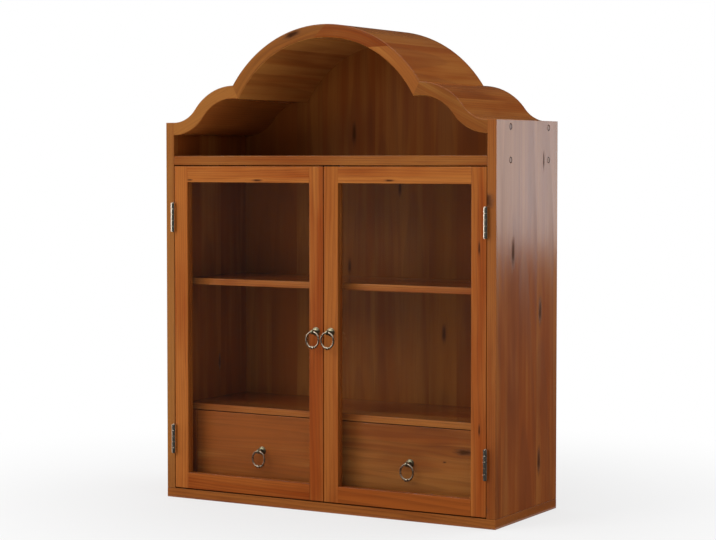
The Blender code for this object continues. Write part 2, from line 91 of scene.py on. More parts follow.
def ease_arrises(piece, width, segments=3):
    """Round all the sharp edges of a piece a little."""
    take_up(piece)
    bpy.ops.object.mode_set(mode="EDIT")
    bpy.ops.mesh.select_mode(type="EDGE")
    bpy.ops.mesh.select_all(action="DESELECT")
    bpy.ops.mesh.edges_select_sharp(sharpness=math.radians(50))
    bpy.ops.mesh.bevel(offset=width, segments=segments, profile=0.5, affect="EDGES")
    bpy.ops.object.mode_set(mode="OBJECT")


def smooth_faces(piece):
    """Shade the round arrises smoothly while the planed faces stay flat."""
    take_up(piece)
    bpy.ops.object.shade_smooth_by_angle(angle=math.radians(40))
    even = piece.modifiers.new("even", "WEIGHTED_NORMAL")
    even.keep_sharp = True
    bpy.ops.object.modifier_apply(modifier=even.name)


def plank(node, ease):
    """A plain board in its CAD node's place, with eased arrises."""
    board = add_block(f"pine_{node}", *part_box(node))
    ease_arrises(board, ease)
    smooth_faces(board)
    return board


def coat(piece, *materials):
    """Give a piece its own materials in place of any others."""
    piece.data.materials.clear()
    for material in materials:
        piece.data.materials.append(material)


def fit_for(piece, node, slot, *materials):
    """Coat a piece, put it in its CAD node's place and let it move with that node's body."""
    coat(piece, *materials)
    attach(piece, frame["nodes"][node]["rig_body"])
    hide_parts(node)


def new_material(name):
    """A material, its node tree and the shader that it starts with."""
    material = bpy.data.materials.new(name)
    material.use_nodes = True
    return material, material.node_tree, material.node_tree.nodes["Principled BSDF"]


def add_node(tree, kind, feeds, **settings):
    """A shader node with its settings. Each feed is a plain value or another node's output."""
    node = tree.nodes.new(kind)
    for setting, value in settings.items():
        setattr(node, setting, value)
    for socket, value in feeds.items():
        if isinstance(value, bpy.types.NodeSocket):
            tree.links.new(value, node.inputs[socket])
        else:
            node.inputs[socket].default_value = value
    return node


# Short names for the sums and the vectors that a material is made of.
def maths(tree, operation, first, second=0.0):
    return add_node(tree, "ShaderNodeMath", {0: first, 1: second}, operation=operation).outputs[0]


def plus(tree, first, second):
    return maths(tree, "ADD", first, second)


def minus(tree, first, second):
    return maths(tree, "SUBTRACT", first, second)


def times(tree, first, second):
    return maths(tree, "MULTIPLY", first, second)


def split(tree, vector):
    return add_node(tree, "ShaderNodeSeparateXYZ", {0: vector}).outputs


def joined(tree, *parts):
    return add_node(tree, "ShaderNodeCombineXYZ", dict(enumerate(parts))).outputs[0]


def length_of(tree, vector):
    return add_node(tree, "ShaderNodeVectorMath", {0: vector}, operation="LENGTH").outputs["Value"]


def own_place(tree):
    return add_node(tree, "ShaderNodeTexCoord", {}).outputs["Object"]


def ramp(tree, value, start, end, low=0.0, high=1.0):
    """A smooth step of a value between two limits."""
    feeds = {"Value": value, "From Min": start, "From Max": end, "To Min": low, "To Max": high}
    return add_node(tree, "ShaderNodeMapRange", feeds, interpolation_type="SMOOTHSTEP").outputs[0]


def blended(tree, share, first, second):
    """One colour turning into another as the share goes from 0 to 1."""
    feeds = {0: share, 6: first, 7: second}
    return add_node(tree, "ShaderNodeMix", feeds, data_type="RGBA").outputs[2]


def cloud(tree, parts, scales, detail=2.0):
    """Noise at a place whose three parts are each scaled, about 0.5 in the mean."""
    place = joined(tree, *[times(tree, part, scale) for part, scale in zip(parts, scales)])
    feeds = {"Vector": place, "Scale": 1.0, "Detail": detail, "Roughness": 0.55}
    return add_node(tree, "ShaderNodeTexNoise", feeds).outputs[0]


def new_group(name, inputs, outputs):
    """An empty shader node group with named sockets."""
    group = bpy.data.node_groups.new(name, "ShaderNodeTree")
    for socket, kind in inputs:
        group.interface.new_socket(socket, in_out="INPUT", socket_type=f"NodeSocket{kind}")
    for socket, kind in outputs:
        group.interface.new_socket(socket, in_out="OUTPUT", socket_type=f"NodeSocket{kind}")
    return group, group.nodes.new("NodeGroupInput").outputs, group.nodes.new("NodeGroupOutput").inputs


# A knot is a dark lens along the grain with a ragged edge, and the grain swells round it.
knot_depth = 0.03
knot_group, given, result = new_group(
    "pine_knot",
    (("Grain", "Vector"), ("Place", "Vector"), ("Length", "Float"), ("Width", "Float")),
    (("Mask", "Float"), ("Swirl", "Float")),
)
tree = knot_group
ends = {0: given["Grain"], 1: given["Place"]}
away = split(tree, add_node(tree, "ShaderNodeVectorMath", ends, operation="SUBTRACT").outputs[0])
along = maths(tree, "DIVIDE", away[0], given["Length"])
across = maths(tree, "DIVIDE", away[1], given["Width"])
deep = maths(tree, "DIVIDE", away[2], knot_depth)
reach = length_of(tree, joined(tree, along, across, deep))
ragged = cloud(tree, (along, across, deep), (1.6, 3.0, 1.0))
edge = plus(tree, reach, times(tree, minus(tree, ragged, 0.5), 0.9))
tree.links.new(ramp(tree, edge, 1.0, 0.2), result["Mask"])
near = times(tree, ramp(tree, reach, 3.2, 0.3), 0.72)
tree.links.new(times(tree, near, away[1]), result["Swirl"])

# Plain-sawn pine, in strips glued edge to edge. The first axis of Grain runs along the wood, the second
# across the face and the third into it. Each strip has its own heart, so its rings make their own figure.
year_width = 0.0048
taper = 0.010
knot_heart = (0.022, 0.011, 0.003, 1.0)
pine_group, given, result = new_group(
    "pine_figure",
    (
        ("Grain", "Vector"), ("Strip", "Float"), ("Seed", "Float"), ("Pale", "Color"), ("Warm", "Color"),
        ("Dark", "Color"), ("Knot", "Float"), ("Swirl", "Float"),
    ),
    (("Colour", "Color"), ("Roughness", "Float"), ("Height", "Float")),
)
tree = pine_group
grain = split(tree, given["Grain"])

# Chance gives each strip its own stretch of the trunk and its own heart.
shift = times(tree, given["Seed"], 0.0371)
strip = maths(tree, "FLOOR", maths(tree, "DIVIDE", plus(tree, grain[1], shift), given["Strip"]))
pair = {"Vector": joined(tree, strip, given["Seed"])}
chance = add_node(tree, "ShaderNodeTexWhiteNoise", pair, noise_dimensions="3D").outputs["Color"]
chance = add_node(tree, "ShaderNodeSeparateColor", {0: chance}).outputs
along = plus(tree, grain[0], times(tree, chance[0], 7.0))
along = plus(tree, along, times(tree, given["Seed"], 1.3))
middle = plus(tree, strip, times(tree, chance[1], 0.9))
middle = minus(tree, times(tree, middle, given["Strip"]), shift)
across = minus(tree, minus(tree, grain[1], given["Swirl"]), middle)

# The rings lie round the heart, sway a little and taper along the trunk.
for scales, sway in (((1.4, 5.0, 5.0), 0.03), ((8.0, 30.0, 30.0), 0.004)):
    wander = cloud(tree, (along, grain[1], grain[2]), scales)
    across = plus(tree, across, times(tree, minus(tree, wander, 0.5), sway))
deep = plus(tree, grain[2], plus(tree, 0.018, times(tree, chance[2], 0.05)))
radius = length_of(tree, joined(tree, across, deep))
radius = plus(tree, radius, times(tree, along, taper))
years = cloud(tree, (radius, 0.0, 0.0), (70.0, 1.0, 1.0))
year = plus(tree, maths(tree, "DIVIDE", radius, year_width), times(tree, years, 2.0))
year = maths(tree, "FRACT", year)
late = times(tree, ramp(tree, year, 0.25, 0.9), ramp(tree, year, 1.0, 0.92))

# The stain lies in streaks and blotches. Late wood, fibres and blotches darken it, and a knot even more.
streak = cloud(tree, (along, across, deep), (1.2, 48.0, 36.0), 3.0)
fibre = cloud(tree, (along, across, deep), (10.0, 520.0, 520.0), 3.0)
blotch = cloud(tree, (along, grain[1], grain[2]), (2.4, 9.0, 9.0), 3.0)
stain = plus(tree, times(tree, streak, 0.48), times(tree, blotch, 0.52))
stain = plus(tree, stain, times(tree, minus(tree, chance[2], 0.5), 0.22))
colour = blended(tree, ramp(tree, stain, 0.37, 0.61), given["Pale"], given["Warm"])
lines = times(tree, late, 0.24)
lines = plus(tree, lines, times(tree, ramp(tree, fibre, 0.5, 0.8), 0.35))
lines = plus(tree, lines, times(tree, ramp(tree, blotch, 0.52, 0.8), 0.5))
colour = blended(tree, lines, colour, given["Dark"])
heart = blended(tree, 0.5, given["Dark"], knot_heart)
tree.links.new(blended(tree, given["Knot"], colour, heart), result["Colour"])

# Fibres, late wood and knots are a little duller. Fibres and late wood stand up, and knots sink.
rough = plus(tree, 0.10, times(tree, fibre, 0.10))
rough = plus(tree, rough, times(tree, given["Knot"], 0.3))
tree.links.new(plus(tree, rough, times(tree, late, 0.05)), result["Roughness"])
height = plus(tree, times(tree, late, 0.5), times(tree, fibre, 0.6))
height = minus(tree, height, times(tree, given["Knot"], 0.5))
tree.links.new(height, result["Height"])


def pine(name, grain, strip, seed, tone=1.0, red=0.0, knots=(), lay=None, gloss=0.2, calm=0.0):
    """Lacquered pine. grain names the axes along the wood, across its face and into it.

    strip is the width of the glued strips and seed chooses the figure. tone makes the wood lighter or
    darker and red makes it redder. Each knot is its place along and across the grain, its depth, its half
    length and its half width. lay may turn places into grain in another way, gloss is the strength of the
    lacquer's shine, and calm brings the colours of the figure together."""
    material, tree, shader = new_material(name)
    place = own_place(tree)
    if lay:
        place = add_node(tree, "ShaderNodeGroup", {0: place}, node_tree=lay).outputs[grain]
    else:
        parts = split(tree, place)
        place = joined(tree, *[parts["XYZ".index(axis)] for axis in grain])
    warmth = (1.0, 1.0 - 0.25 * red, 1.0 - 0.4 * red)
    shades = {
        "Pale": (0.420, 0.140, 0.028), "Warm": (0.286, 0.060, 0.0095), "Dark": (0.110, 0.024, 0.005),
    }
    middle = [sum(three) / 3 for three in zip(*shades.values())]
    feeds = {"Grain": place, "Strip": strip, "Seed": seed}
    for shade, colour in shades.items():
        colour = [c + calm * (m - c) for c, m in zip(colour, middle)]
        feeds[shade] = [c * tone * w for c, w in zip(colour, warmth)] + [1.0]
    shader.inputs["Specular IOR Level"].default_value = gloss
    if knots:
        mask = 0.0
        swirl = 0.0
        for along, across, deep, length, width in knots:
            shape = {"Grain": place, "Place": (along, across, deep), "Length": length, "Width": width}
            knot = add_node(tree, "ShaderNodeGroup", shape, node_tree=knot_group).outputs
            mask = maths(tree, "MAXIMUM", mask, knot["Mask"])
            swirl = plus(tree, swirl, knot["Swirl"])
        feeds.update({"Knot": mask, "Swirl": swirl})
        bare = minus(tree, 1.0, times(tree, mask, 0.8))
        tree.links.new(times(tree, bare, gloss), shader.inputs["Specular IOR Level"])
    figure = add_node(tree, "ShaderNodeGroup", feeds, node_tree=pine_group).outputs
    tree.links.new(figure["Colour"], shader.inputs["Base Color"])
    tree.links.new(figure["Roughness"], shader.inputs["Roughness"])
    relief = {"Height": figure["Height"], "Strength": 0.12, "Distance": 0.0005}
    tree.links.new(add_node(tree, "ShaderNodeBump", relief).outputs[0], shader.inputs["Normal"])
    return material


# A strip wider than any board stands for wood that isn't glued up.
one_board = 0.5
# A face is square on to an axis when its normal has more than this share along it.
square_on = 0.7
bottom_pine = pine("bottom_pine", "XYZ", 0.075, 1.0, 0.69, 0.2)
bottom_end_pine = pine("bottom_end_pine", "YZX", one_board, 19.0, 1.02, -0.4, calm=0.5)
board = plank("bottom_board", 0.0003)
fit_for(board, "bottom_board", "outer_wood", bottom_pine, bottom_end_pine)
for face in board.data.polygons:
    if abs(face.normal.x) > square_on:
        face.material_index = 1


# Sides: two upright pine boards, glued up from strips, that stand on the bottom board. Housings hold the
# shelves, pockets and hollows hold the hinges and the hanger plates, and round plugs cover the screws.

hands = (("left", -1), ("right", 1))
hinge_levels = ("upper", "lower")
side_low, side_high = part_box("right_side")
inner_x = side_low.x
outer_x = side_high.x
front = side_low.y
pin_low, pin_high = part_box("right_upper_hinge_pin")
hinge_x = (pin_low.x + pin_high.x) / 2
hinge_y = (pin_low.y + pin_high.y) / 2
hinge_length = 0.062
leaf_thickness = 0.0012
barrel_radius = 0.005

# A cutter leaves a little play round a fitting and goes past the faces that it opens. A hanger plate lies
# on a narrow ledge, with room for the head of a wall screw behind it.
play = 0.0003
room = Vector((play, play, play))
past = 0.005
plate_ledge = Vector((0.0015, -0.001, 0.0015))
wall_screw_room = Vector((0, 0.008, 0))

# Each plug is a little narrower than its hole and ends just below the face of the side.
plug_backs = (0.065, 0.246)
plug_heights = (0.805, 0.738)
plug_radius = 0.0050
plug_length = 0.0038
hole_radius = 0.0066
hole_depth = 0.004
hole_reach = 0.009
skin = 0.0005
sideways = (0, math.pi / 2, 0)

side_knots = {
    "left": ((0.284, 0.041, -0.380, 0.028, 0.006), (0.600, -0.070, -0.400, 0.030, 0.007)),
    "right": (
        (0.737, 0.087, 0.400, 0.026, 0.0045), (0.551, -0.058, 0.400, 0.042, 0.0105),
        (0.425, 0.072, 0.400, 0.040, 0.0105), (0.113, 0.068, 0.400, 0.040, 0.0105),
        (0.658, -0.136, 0.373, 0.022, 0.007), (0.039, -0.136, 0.362, 0.012, 0.006),
    ),
}
side_tones = {"left": (0.9, -0.3), "right": (0.97, 0.0)}
edge_tones = {"left": (0.82, -0.7), "right": (0.85, 0.0)}
plug_pine = pine("plug_pine", "XYZ", one_board, 17.0, tone=0.62)
# The walls of each plug hole get a near-black pine: painted shade in the gap round the plug.
plug_gap_shade_pine = pine("plug_hole_shade_pine", "XYZ", one_board, 18.0, tone=0.16)


def cut_away(piece, tool):
    """Cut a tool's shape out of a piece and throw the tool away."""
    take_up(piece)
    cut = piece.modifiers.new("cut", "BOOLEAN")
    cut.object = tool
    cut.operation = "DIFFERENCE"
    cut.solver = "EXACT"
    bpy.ops.object.modifier_apply(modifier=cut.name)
    bpy.data.objects.remove(tool)


def cut_pocket(piece, near, far):
    """Chop a square pocket, housing or rebate between two opposite corners out of a piece."""
    low = [min(pair) for pair in zip(near, far)]
    high = [max(pair) for pair in zip(near, far)]
    cut_away(piece, add_block("pocket", low, high))


def add_rod(name, radius, length, place, turn=(0, 0, 0), sides=32):
    """A round rod with its middle at a place."""
    bpy.ops.object.select_all(action="DESELECT")
    bpy.ops.mesh.primitive_cylinder_add(
        vertices=sides, radius=radius, depth=length, location=place, rotation=turn
    )
    return settle(name)


def put_together(name, pieces):
    """Join several pieces into one."""
    take_up(pieces[0])
    for piece in pieces:
        piece.select_set(True)
    bpy.ops.object.join()
    bpy.context.object.name = name
    return bpy.context.object


def scoop_for_hinges(board, hand):
    """Scoop a shallow hollow for each hinge barrel out of a board's front arris."""
    radius = barrel_radius + play
    length = hinge_length + 0.001
    for level in hinge_levels:
        pin_low, pin_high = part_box(f"right_{level}_hinge_pin")
        place = (hand * hinge_x, hinge_y, (pin_low.z + pin_high.z) / 2)
        cut_away(board, add_rod("scoop", radius, length, place, sides=48))


for side, hand in hands:
    low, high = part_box(f"{side}_side")
    board = add_block(f"pine_{side}_side", low, high)
    ease_arrises(board, 0.0006)
    inner = hand * inner_x
    for level in hinge_levels:
        leaf_low, leaf_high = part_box(f"{side}_{level}_hinge_side_leaf")
        near = (inner - hand * past, low.y - past, leaf_low.z - play)
        far = (inner + hand * (leaf_thickness + play), leaf_high.y + play, leaf_high.z + play)
        cut_pocket(board, near, far)
    scoop_for_hinges(board, hand)
    for shelf in ("middle_shelf", "lower_shelf"):
        shelf_low, shelf_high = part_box(shelf)
        cut_pocket(board, shelf_low - room, shelf_high + room)
    plate_low, plate_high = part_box(f"{side}_hanger")
    cut_pocket(board, plate_low - room, plate_high + room + Vector((0, past, 0)))
    cut_pocket(board, plate_low + plate_ledge - wall_screw_room, plate_high - plate_ledge)
    plugs = []
    holes = []
    for back in plug_backs:
        for height in plug_heights:
            hole = Vector((hand * outer_x, low.y + back, height))
            holes.append(hole)
            cut_away(board, add_rod("plug_hole", hole_radius, 2 * hole_depth, hole, sideways))
            place = hole - Vector((hand * (hole_depth - plug_length / 2), 0, 0))
            plug = add_rod("plug", plug_radius, plug_length, place, sideways)
            ease_arrises(plug, 0.0003, 2)
            plugs.append(plug)
    smooth_faces(board)
    wood = {"knots": side_knots[side], "gloss": 0.3, "calm": 0.3}
    side_pine = pine(f"{side}_side_pine", "ZYX", 0.083, 2.0 + hand, *side_tones[side], **wood)
    edge_pine = pine(f"{side}_side_edge_pine", "ZYX", 0.083, 2.0 + hand, *edge_tones[side], **wood)
    fit_for(board, f"{side}_side", "outer_wood", side_pine, plug_gap_shade_pine, edge_pine)
    # Faces sunk round a plug get the near-black pine of painted shade, and faces at the front get the edge
    # pine.
    for face in board.data.polygons:
        sunk = skin < outer_x - abs(face.center.x) < hole_depth + skin
        if sunk and min((face.center - hole).length for hole in holes) < hole_reach:
            face.material_index = 1
        elif face.normal.y < -square_on and face.center.y < low.y + 2 * skin:
            face.material_index = 2
    plug = put_together(f"{side}_side_plugs", plugs)
    smooth_faces(plug)
    coat(plug, plug_pine)
    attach(plug, "carcase")


# Shelves: three pine boards across the inside. The top one closes the glazed part and is the floor of
# the open niche, screwed through the sides. The two thinner ones stop short of the doors in housings.

for shelf, strip, seed, tone, red, slot in (
    ("top_shelf", 0.075, 4.0, 0.77, -0.5, "outer_wood"),
    ("middle_shelf", 0.065, 5.0, 0.88, 0.0, "inner_wood"),
    ("lower_shelf", 0.065, 6.0, 0.85, 0.0, "inner_wood"),
):
    shelf_pine = pine(f"{shelf}_pine", "XYZ", strip, seed, tone, red)
    fit_for(plank(shelf, 0.0012), shelf, slot, shelf_pine)


# Drawer bay: an upright divider between the two drawers and a guide strip beside each one, all of pine.
# The guides fill the space behind the door hinges, so that a drawer clears its open door.

bay_pine = pine("drawer_bay_pine", "ZYX", 0.07, 7.0, 0.85)
for node in ("drawer_divider", "left_drawer_guide", "right_drawer_guide"):
    fit_for(plank(node, 0.001), node, "inner_wood", bay_pine)


# Crown: a round arch between two S-shaped shoulders, as deep as the cabinet. Each is a curved pine shell
# with its grain from front to back and a strip that follows the curve glued on its edges.

# The shell is 0.4 mm thicker here than in the CAD.
cad_shell = 0.027
shell = cad_shell + 0.0004
arch_radius = 0.270
convex_share = 0.64
crown_ease = 0.0022
seam_overlap = Vector((0.00005, 0, 0))
weld = 0.000002
cabinet_depth = side_high.y - side_low.y
arch_low, arch_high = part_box("crown_arch")
shoulder_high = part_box("right_crown_shoulder")[1]
arch_middle = Vector((0, 0, arch_high.z - arch_radius))

# The arch and a shoulder meet in a slanting seam. The shoulder is a convex arc, level at the seam's top,
# that turns into a cove, level where it meets the side.
seam_top = Vector((arch_high.x, 0, shoulder_high.z))
foot_rise = arch_low.z - arch_middle.z
foot_x = math.sqrt((arch_radius - cad_shell) ** 2 - foot_rise ** 2)
seam_foot = Vector((foot_x, 0, arch_low.z))
seam_normal = Vector((seam_top.z - seam_foot.z, 0, seam_foot.x - seam_top.x)).normalized()
shoulder_run = inner_x - seam_top.x
shoulder_rise = seam_top.z - side_high.z
both_radii = (shoulder_run ** 2 + shoulder_rise ** 2) / (2 * shoulder_rise)
convex_radius = convex_share * both_radii
convex_middle = seam_top - Vector((0, 0, convex_radius))
cove_middle = Vector((inner_x, 0, side_high.z + both_radii - convex_radius))
shoulder_turn = math.atan2(shoulder_run, both_radii - shoulder_rise)
shoulder_overrun = math.radians(14)
cove_overrun = 1.12
arch_sweep = math.radians(140)


def open_up(piece):
    """Open a piece for work on the whole of its mesh."""
    take_up(piece)
    bpy.ops.object.mode_set(mode="EDIT")
    bpy.ops.mesh.select_all(action="SELECT")


def close_up():
    """Turn all faces of the open piece outward and leave its mesh."""
    bpy.ops.mesh.select_all(action="SELECT")
    bpy.ops.mesh.normals_make_consistent(inside=False)
    bpy.ops.object.mode_set(mode="OBJECT")


def crown_section(name, middle, radius, lean):
    """An upright slice of the shell, leaning by an angle about its arc's middle, ready to be spun."""
    half = radius - shell / 2
    place = middle + Vector((half * math.sin(lean), front + cabinet_depth / 2, half * math.cos(lean)))
    bpy.ops.object.select_all(action="DESELECT")
    bpy.ops.mesh.primitive_plane_add(size=1, location=place, rotation=(0, math.pi / 2 + lean, 0))
    section = settle(name, (shell, cabinet_depth, 1))
    open_up(section)
    return section


def close_shell(section):
    """Join what was spun into one closed shell and round its long arrises."""
    bpy.ops.mesh.select_all(action="SELECT")
    bpy.ops.mesh.remove_doubles(threshold=weld)
    close_up()
    ease_arrises(section, crown_ease, 4)


def trim(section, place, normal):
    """Saw off what lies beyond a plane and close the cut."""
    open_up(section)
    bpy.ops.mesh.bisect(plane_co=place, plane_no=normal, use_fill=True, clear_outer=True)
    close_up()


def copy_of(pattern, name, place=(0, 0, 0), scale=(1, 1, 1)):
    """A copy of a pattern at another place, with a mesh of its own."""
    take_up(pattern)
    bpy.ops.object.duplicate()
    bpy.context.object.location = place
    return settle(name, scale)


def mirrored(piece, name):
    """The same piece for the other hand."""
    twin = copy_of(piece, name, scale=(-1, 1, 1))
    open_up(twin)
    close_up()
    return twin


def finish_crown(piece, node, top_pine, lit_soffit_pine, edge_pines, joints=()):
    """Give the front and rear edges the pine that follows the curve, a new board after each joint."""
    smooth_faces(piece)
    fit_for(piece, node, "outer_wood", top_pine, lit_soffit_pine, *edge_pines)
    # Faces that look down get the soffit pine, lighter and less red than the top: painted light on the
    # underside.
    for face in piece.data.polygons:
        if abs(face.normal.y) > square_on:
            board = 0
            for place, normal in joints:
                if (face.center - place).dot(normal) < 0:
                    break
                board += 1
            face.material_index = 2 + board
        elif face.normal.z < -0.2:
            face.material_index = 1


# Where a point lies on the arch: how far round, how far out, and how far back.
arch_lay, given, result = new_group(
    "arch_lay", (("Place", "Vector"),), (("Front To Back", "Vector"), ("Round The Arch", "Vector"))
)
tree = arch_lay
parts = split(tree, given["Place"])
rise = minus(tree, parts["Z"], arch_middle.z)
round_arch = times(tree, maths(tree, "ARCTAN2", parts["X"], rise), arch_radius)
out = length_of(tree, joined(tree, parts["X"], rise))
tree.links.new(joined(tree, parts["Y"], round_arch, out), result["Front To Back"])
tree.links.new(joined(tree, round_arch, out, parts["Y"]), result["Round The Arch"])

# A shoulder's edge is sawn from a board that slopes down from the arch to the side.
slope_run = 0.89
slope_drop = 0.45
slope_lay, given, result = new_group(
    "slope_lay", (("Place", "Vector"),), (("Down The Slope", "Vector"),)
)
tree = slope_lay
parts = split(tree, given["Place"])
away = maths(tree, "ABSOLUTE", parts["X"])
down = minus(tree, times(tree, away, slope_run), times(tree, parts["Z"], slope_drop))
side_on = plus(tree, times(tree, away, slope_drop), times(tree, parts["Z"], slope_run))
tree.links.new(joined(tree, down, side_on, parts["Y"]), result["Down The Slope"])

arch = crown_section("pine_crown_arch", arch_middle, arch_radius, -arch_sweep / 2)
bpy.ops.mesh.spin(steps=84, angle=arch_sweep, center=arch_middle, axis=(0, -1, 0))
close_shell(arch)
trim(arch, seam_top, seam_normal)
trim(arch, Vector((-seam_top.x, 0, seam_top.z)), Vector((-seam_normal.x, 0, seam_normal.z)))

shoulder = crown_section("pine_right_crown_shoulder", convex_middle, convex_radius, -shoulder_overrun)
convex_turn = shoulder_turn + shoulder_overrun
bpy.ops.mesh.spin(steps=22, angle=convex_turn, center=convex_middle, axis=(0, -1, 0))
bpy.ops.mesh.spin(steps=20, angle=-shoulder_turn * cove_overrun, center=cove_middle, axis=(0, -1, 0))
close_shell(shoulder)
trim(shoulder, seam_top - seam_overlap, -seam_normal)
trim(shoulder, (inner_x, 0, 0), (1, 0, 0))
other_shoulder = mirrored(shoulder, "pine_left_crown_shoulder")

# The arch's edge is of three boards, which meet in slanting joints. Each joint has a place and a normal.
arch_joints = (
    (Vector((-0.0104, 0, 1.0044)), Vector((0.677, 0, -0.736))),
    (Vector((0.131, 0, 0.9695)), Vector((0.02, 0, -1.0))),
)
for joint_place, joint_normal in arch_joints:
    open_up(arch)
    bpy.ops.mesh.bisect(plane_co=joint_place, plane_no=joint_normal)
    bpy.ops.object.mode_set(mode="OBJECT")
arch_knots = ((-0.080, 0.262, -0.136, 0.030, 0.008),)
shine = 0.12
lacquer = {"gloss": shine, "calm": 0.35}
# The arch's soffit pine is lighter and less red than its top pine: painted light on the underside.
arch_top = pine("arch_pine", "Front To Back", 0.09, 8.0, 1.05, -0.3, lay=arch_lay, **lacquer)
arch_soffit_lit = pine("arch_lit_soffit_pine", "Front To Back", 0.09, 8.0, 1.30, -1.0, lay=arch_lay, **lacquer)
arch_edges = (
    pine("arch_left_edge_pine", "Round The Arch", one_board, 9.0, 0.60, -0.1, arch_knots, arch_lay, shine),
    pine("arch_top_edge_pine", "Round The Arch", one_board, 14.0, 0.70, 0.0, (), arch_lay, shine),
    pine("arch_right_edge_pine", "Round The Arch", one_board, 13.0, 1.09, -1.3, lay=arch_lay, **lacquer),
)
finish_crown(arch, "crown_arch", arch_top, arch_soffit_lit, arch_edges, arch_joints)
for piece, node, seed, tone, red in (
    (other_shoulder, "left_crown_shoulder", 10.0, 0.85, -0.7),
    (shoulder, "right_crown_shoulder", 11.0, 0.77, -0.9),
):
    # Each shoulder's soffit pine is lighter and less red than its top pine: painted light on the
    # underside.
    top = pine(f"{node}_pine", "YXZ", 0.09, seed, 1.05, -0.3, **lacquer)
    soffit = pine(f"{node}_lit_soffit_pine", "YXZ", 0.09, seed, 1.25, -1.0, **lacquer)
    sloping = {"lay": slope_lay, **lacquer}
    edges = pine(f"{node}_edge_pine", "Down The Slope", one_board, seed + 22, tone, red, **sloping)
    finish_crown(piece, node, top, soffit, (edges,))


# Back panel: a thin panel of upright pine strips, let in between the sides and cut to the crown's curve.
# It closes the niche and the glazed part and stays dull. Its dark tone is painted shade for the inside of
# the niche and the glazed part.

back_knots = (
    (0.797, -0.091, 0.148, 0.036, 0.0075), (0.360, 0.136, 0.148, 0.028, 0.0075),
    (0.677, 0.026, 0.148, 0.030, 0.006), (0.500, -0.102, 0.148, 0.026, 0.006),
)
# The low tone of this pine darkens the whole panel as painted shade.
back_pine = pine("back_pine", "ZXY", 0.068, 12.0, 0.71, -0.3, back_knots, gloss=0.1, calm=0.45)
coat(frame["nodes"]["back_panel"], back_pine)


# Hangers and catch: two keyhole plates of dark steel in the rear edges of the sides, which hang on two
# wall screws, and a magnet in a dark case under the top shelf that holds both doors shut.

def plain_metal(name, colour, dull, roughness, spread, dents=0.15):
    """Metal with a worn, uneven film: bright where it is rubbed and dull in its hollows."""
    material, tree, shader = new_material(name)
    film = cloud(tree, split(tree, own_place(tree)), (260.0, 260.0, 260.0), 4.0)
    raised = add_node(tree, "ShaderNodeNewGeometry", {}).outputs["Pointiness"]
    worn = plus(tree, ramp(tree, raised, 0.44, 0.56), minus(tree, film, 0.5))
    worn = maths(tree, "MAXIMUM", maths(tree, "MINIMUM", worn, 1.0), 0.0)
    tree.links.new(blended(tree, worn, (*dull, 1), (*colour, 1)), shader.inputs["Base Color"])
    shader.inputs["Metallic"].default_value = 1.0
    tree.links.new(plus(tree, roughness, times(tree, film, spread)), shader.inputs["Roughness"])
    bump = add_node(tree, "ShaderNodeBump", {"Height": film, "Strength": dents, "Distance": 0.0003})
    tree.links.new(bump.outputs[0], shader.inputs["Normal"])
    return material


def pick_faces(piece, chosen):
    """Open a piece for work on some of its faces."""
    take_up(piece)
    bpy.ops.object.mode_set(mode="EDIT")
    bpy.ops.mesh.select_mode(type="FACE")
    bpy.ops.mesh.select_all(action="DESELECT")
    bpy.ops.object.mode_set(mode="OBJECT")
    for face in piece.data.polygons:
        face.select = chosen(face)
    bpy.ops.object.mode_set(mode="EDIT")


def finish_plate(plate, node):
    """Ease a small steel fitting's arrises and fit it."""
    bpy.ops.object.mode_set(mode="OBJECT")
    ease_arrises(plate, 0.0003, 2)
    smooth_faces(plate)
    fit_for(plate, node, "dark_steel", dark_steel)


dark_steel = plain_metal("dark_steel", (0.16, 0.16, 0.165), (0.05, 0.05, 0.052), 0.35, 0.25)
for node in ("left_hanger", "right_hanger"):
    coat(frame["nodes"][node], dark_steel)

catch = add_block("catch_case", *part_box("magnet_catch"))
pick_faces(catch, lambda face: face.normal.y < -0.9)
bpy.ops.mesh.inset(thickness=0.002, depth=-0.0008)
bpy.ops.mesh.inset(thickness=0.0015, depth=0.0006)
finish_plate(catch, "magnet_catch")


# Doors: two frames of pine, each with two upright stiles and two rails between them, rebated at the back
# for the glass. The stiles run from top to bottom, and the rails' tongues are glued into their rebates.

lip = 0.009
rebate = 0.008
door_ease = 0.0011
door_knots = {
    "right_door_top_rail": ((0.157, 0.696, front, 0.016, 0.003),),
    "left_door_top_rail": (
        (-0.164, 0.695, front, 0.018, 0.0034), (-0.338, 0.695, front, 0.011, 0.0026),
    ),
    "right_door_hinge_stile": (
        (0.562, 0.3625, front, 0.020, 0.003), (0.1975, 0.3636, front, 0.018, 0.003),
    ),
}
# The bottom rails are darker and redder than the top rails: partly a redder stain, partly painted shade
# towards the foot of each door.
door_tones_and_shade = {
    "right_door_hinge_stile": (0.90, 0.2), "left_door_hinge_stile": (0.92, 0.25),
    "right_door_meeting_stile": (0.83, 0.35), "left_door_meeting_stile": (0.90, 0.1),
    "right_door_top_rail": (0.98, 0.0), "left_door_top_rail": (0.98, -0.1),
    "right_door_bottom_rail": (0.70, 1.0), "left_door_bottom_rail": (0.74, 0.8),
}

members = []
for stile, towards in (("hinge_stile", -1), ("meeting_stile", 1)):
    low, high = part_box(f"right_door_{stile}")
    post = add_block(f"pine_right_door_{stile}", low, high)
    ease_arrises(post, door_ease)
    glass_edge = low.x if towards < 0 else high.x
    near = (glass_edge - towards * rebate, front + lip, low.z - past)
    cut_pocket(post, near, (glass_edge + towards * past, high.y + past, high.z + past))
    if stile == "hinge_stile":
        for level in hinge_levels:
            leaf_low, leaf_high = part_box(f"right_{level}_hinge_door_leaf")
            near = (high.x - leaf_thickness - play, low.y - past, leaf_low.z - play)
            cut_pocket(post, near, (high.x + past, leaf_high.y + play, leaf_high.z + play))
        scoop_for_hinges(post, 1)
    members.append((stile, "ZXY", post, mirrored(post, f"pine_left_door_{stile}")))

